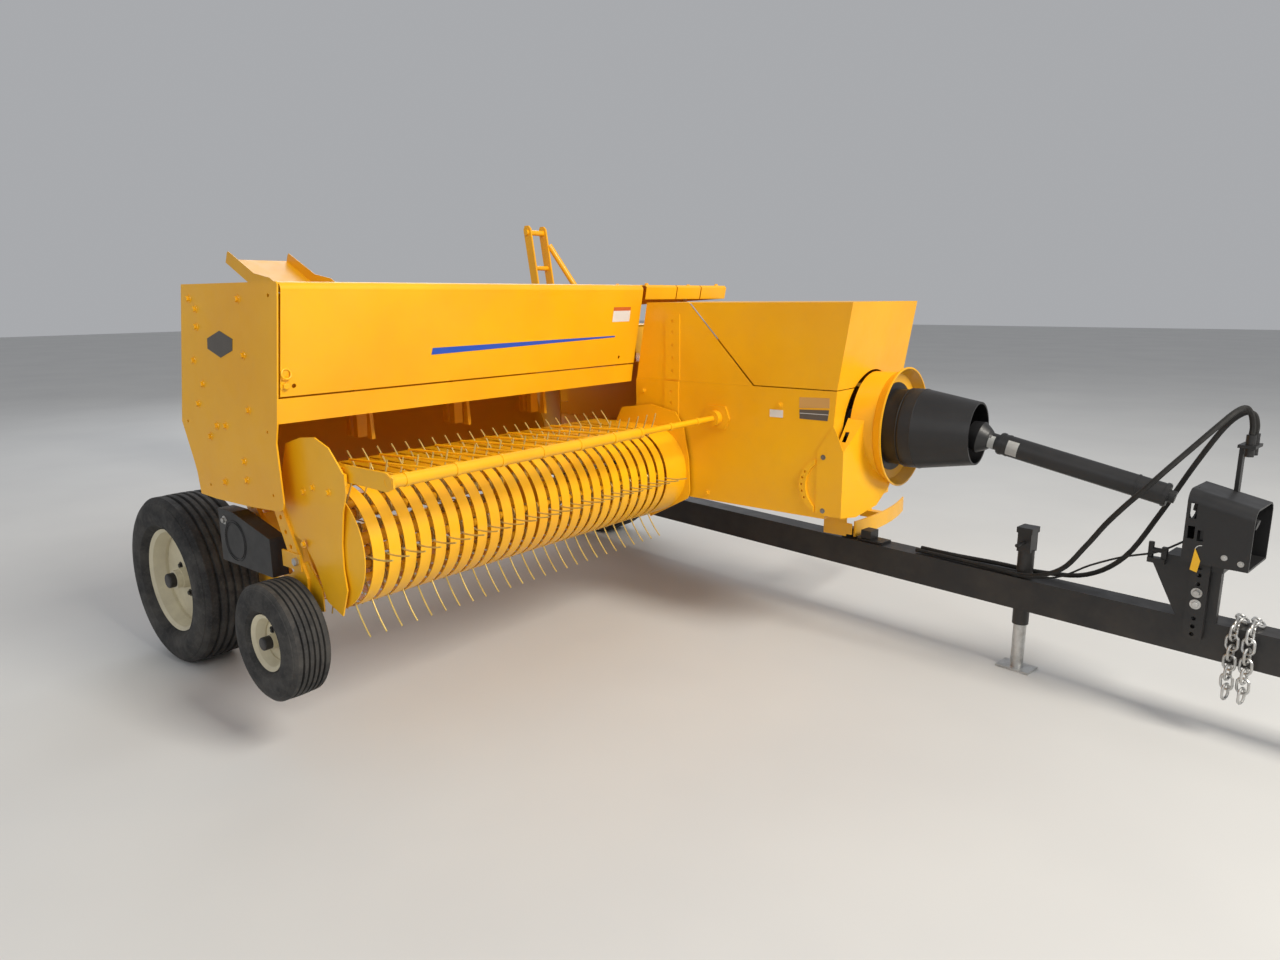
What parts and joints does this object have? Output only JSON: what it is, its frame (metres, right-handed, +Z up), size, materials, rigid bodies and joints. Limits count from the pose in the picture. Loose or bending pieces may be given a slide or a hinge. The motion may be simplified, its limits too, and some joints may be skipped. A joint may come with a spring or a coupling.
{
  "type": "square baler",
  "caption": "Towed farm baler with side pickup reel, feeder housing, long bale chamber, flywheel drive, swinging tongue and rising rear chute.",
  "frame": {"origin": "centre of the machine's footprint box at the ground", "axes": "+X forward to the hitch, +Y to the machine's left, +Z up"},
  "size_m": [6.8278, 2.9185, 1.815],
  "materials": {
    "yellow_paint": "glossy farm machine paint with light wear",
    "black_paint": "satin black",
    "cream_paint": "satin cream",
    "tyre_rubber": "matt black rubber",
    "hose_rubber": "matt black hose",
    "zinc": "zinc plated",
    "bare_steel": "plain steel"
  },
  "bodies": {
    "frame": {"bale_chamber": "yellow_paint", "tension_frame": "yellow_paint", "main_axle": "yellow_paint", "front_case": "yellow_paint", "tongue_arc": "yellow_paint", "case_panel_right": "yellow_paint", "plunger_drive": "bare_steel", "hood_rear": "yellow_paint", "feeder_housing": "yellow_paint", "end_panel": "yellow_paint", "feeder_deck": "yellow_paint", "feeder_forks": "yellow_paint", "side_box": "black_paint", "knotter_stack": "yellow_paint", "needle_yoke": "yellow_paint", "density_mast": "yellow_paint", "twine_box": "yellow_paint", "flywheel_guard": "yellow_paint", "pto_bell": "black_paint", "chute_chains": "zinc"},
    "hood": {"chamber_hood": "yellow_paint"},
    "lid": {"housing_lid": "yellow_paint"},
    "twine_cover": {"twine_lid": "yellow_paint"},
    "flywheel": {"flywheel": "bare_steel"},
    "drive_rear": {"pto_tube_rear": "black_paint"},
    "drive_front": {"pto_tube_front": "black_paint"},
    "tongue": {"tongue": "black_paint", "jack_sleeve": "black_paint", "pto_support": "black_paint", "hoses": "hose_rubber", "safety_chain": "zinc"},
    "jack": {"jack_leg": "zinc"},
    "wheel_right": {"tyre_right": "tyre_rubber", "rim_right": "cream_paint"},
    "wheel_left": {"tyre_left": "tyre_rubber", "rim_left": "cream_paint"},
    "pickup": {"pickup_frame": "yellow_paint", "stripper_bands": "yellow_paint"},
    "reel": {"pickup_reel": "bare_steel"},
    "guard": {"wind_guard": "yellow_paint"},
    "gauge_wheel": {"gauge_tyre": "tyre_rubber", "gauge_rim": "cream_paint"},
    "metering_wheel": {"metering_wheel": "bare_steel"},
    "chute": {"bale_chute": "yellow_paint"}
  },
  "joints": [
    {"name": "right_wheel_turn", "type": "hinge", "parent": "frame", "child": "wheel_right", "pos_m": [-0.672, -1.191, 0.343], "axis": [0, 1, 0], "continuous": true},
    {"name": "left_wheel_turn", "type": "hinge", "parent": "frame", "child": "wheel_left", "pos_m": [-0.672, 1.339, 0.343], "axis": [0, 1, 0], "continuous": true},
    {"name": "tongue_swing", "type": "hinge", "parent": "frame", "child": "tongue", "pos_m": [-0.152, 1.077, 0.32], "axis": [0, 0, 1], "range_deg": [0, 14]},
    {"name": "jack_slide", "type": "slide", "parent": "tongue", "child": "jack", "axis": [0, 0, 1], "range_m": [0, 0.15]},
    {"name": "flywheel_turn", "type": "hinge", "parent": "frame", "child": "flywheel", "pos_m": [1.453, 0.639, 0.935], "axis": [1, 0, 0], "continuous": true},
    {"name": "drive_swing", "type": "hinge", "parent": "frame", "child": "drive_rear", "pos_m": [1.808, 0.639, 0.935], "axis": [0, 0, 1], "range_deg": [0, 41.8]},
    {"name": "drive_stretch", "type": "slide", "parent": "drive_rear", "child": "drive_front", "axis": [0.9774, -0.0158, -0.2108], "range_m": [0, 0.166]},
    {"name": "lid_open", "type": "hinge", "parent": "frame", "child": "lid", "pos_m": [-0.139, -0.361, 1.478], "axis": [0, -1, 0], "range_deg": [0, 70]},
    {"name": "hood_open", "type": "hinge", "parent": "frame", "child": "hood", "pos_m": [1.228, 0.952, 1.109], "axis": [-1, 0, 0], "range_deg": [0, 75]},
    {"name": "twine_lid_open", "type": "hinge", "parent": "frame", "child": "twine_cover", "pos_m": [-0.422, 1, 1.299], "axis": [1, 0, 0], "range_deg": [0, 100]},
    {"name": "pickup_lift", "type": "hinge", "parent": "frame", "child": "pickup", "pos_m": [-0.032, -0.361, 0.742], "axis": [0, 1, 0], "range_deg": [0, 8]},
    {"name": "reel_turn", "type": "hinge", "parent": "pickup", "child": "reel", "pos_m": [0.533, -0.361, 0.7], "axis": [0, -1, 0], "continuous": true},
    {"name": "wind_guard_tilt", "type": "hinge", "parent": "frame", "child": "guard", "pos_m": [0.873, -0.361, 0.95], "axis": [0, 1, 0], "range_deg": [0, 25]},
    {"name": "gauge_wheel_turn", "type": "hinge", "parent": "pickup", "child": "gauge_wheel", "pos_m": [0.39, -1.39, 0.4], "axis": [0, 1, 0], "continuous": true},
    {"name": "metering_turn", "type": "hinge", "parent": "frame", "child": "metering_wheel", "pos_m": [-0.552, 0.539, 1.226], "axis": [0, 1, 0], "continuous": true},
    {"name": "chute_fold", "type": "hinge", "parent": "frame", "child": "chute", "pos_m": [-1.534, 0.639, 0.82], "axis": [0, -1, 0], "range_deg": [0, 26]}
  ],
  "couplings": [
    {"joint": "drive_swing", "follows": "tongue_swing", "ratio": 2.949},
    {"joint": "drive_stretch", "follows": "tongue_swing", "m_per_rad": 0.6719}
  ]
}
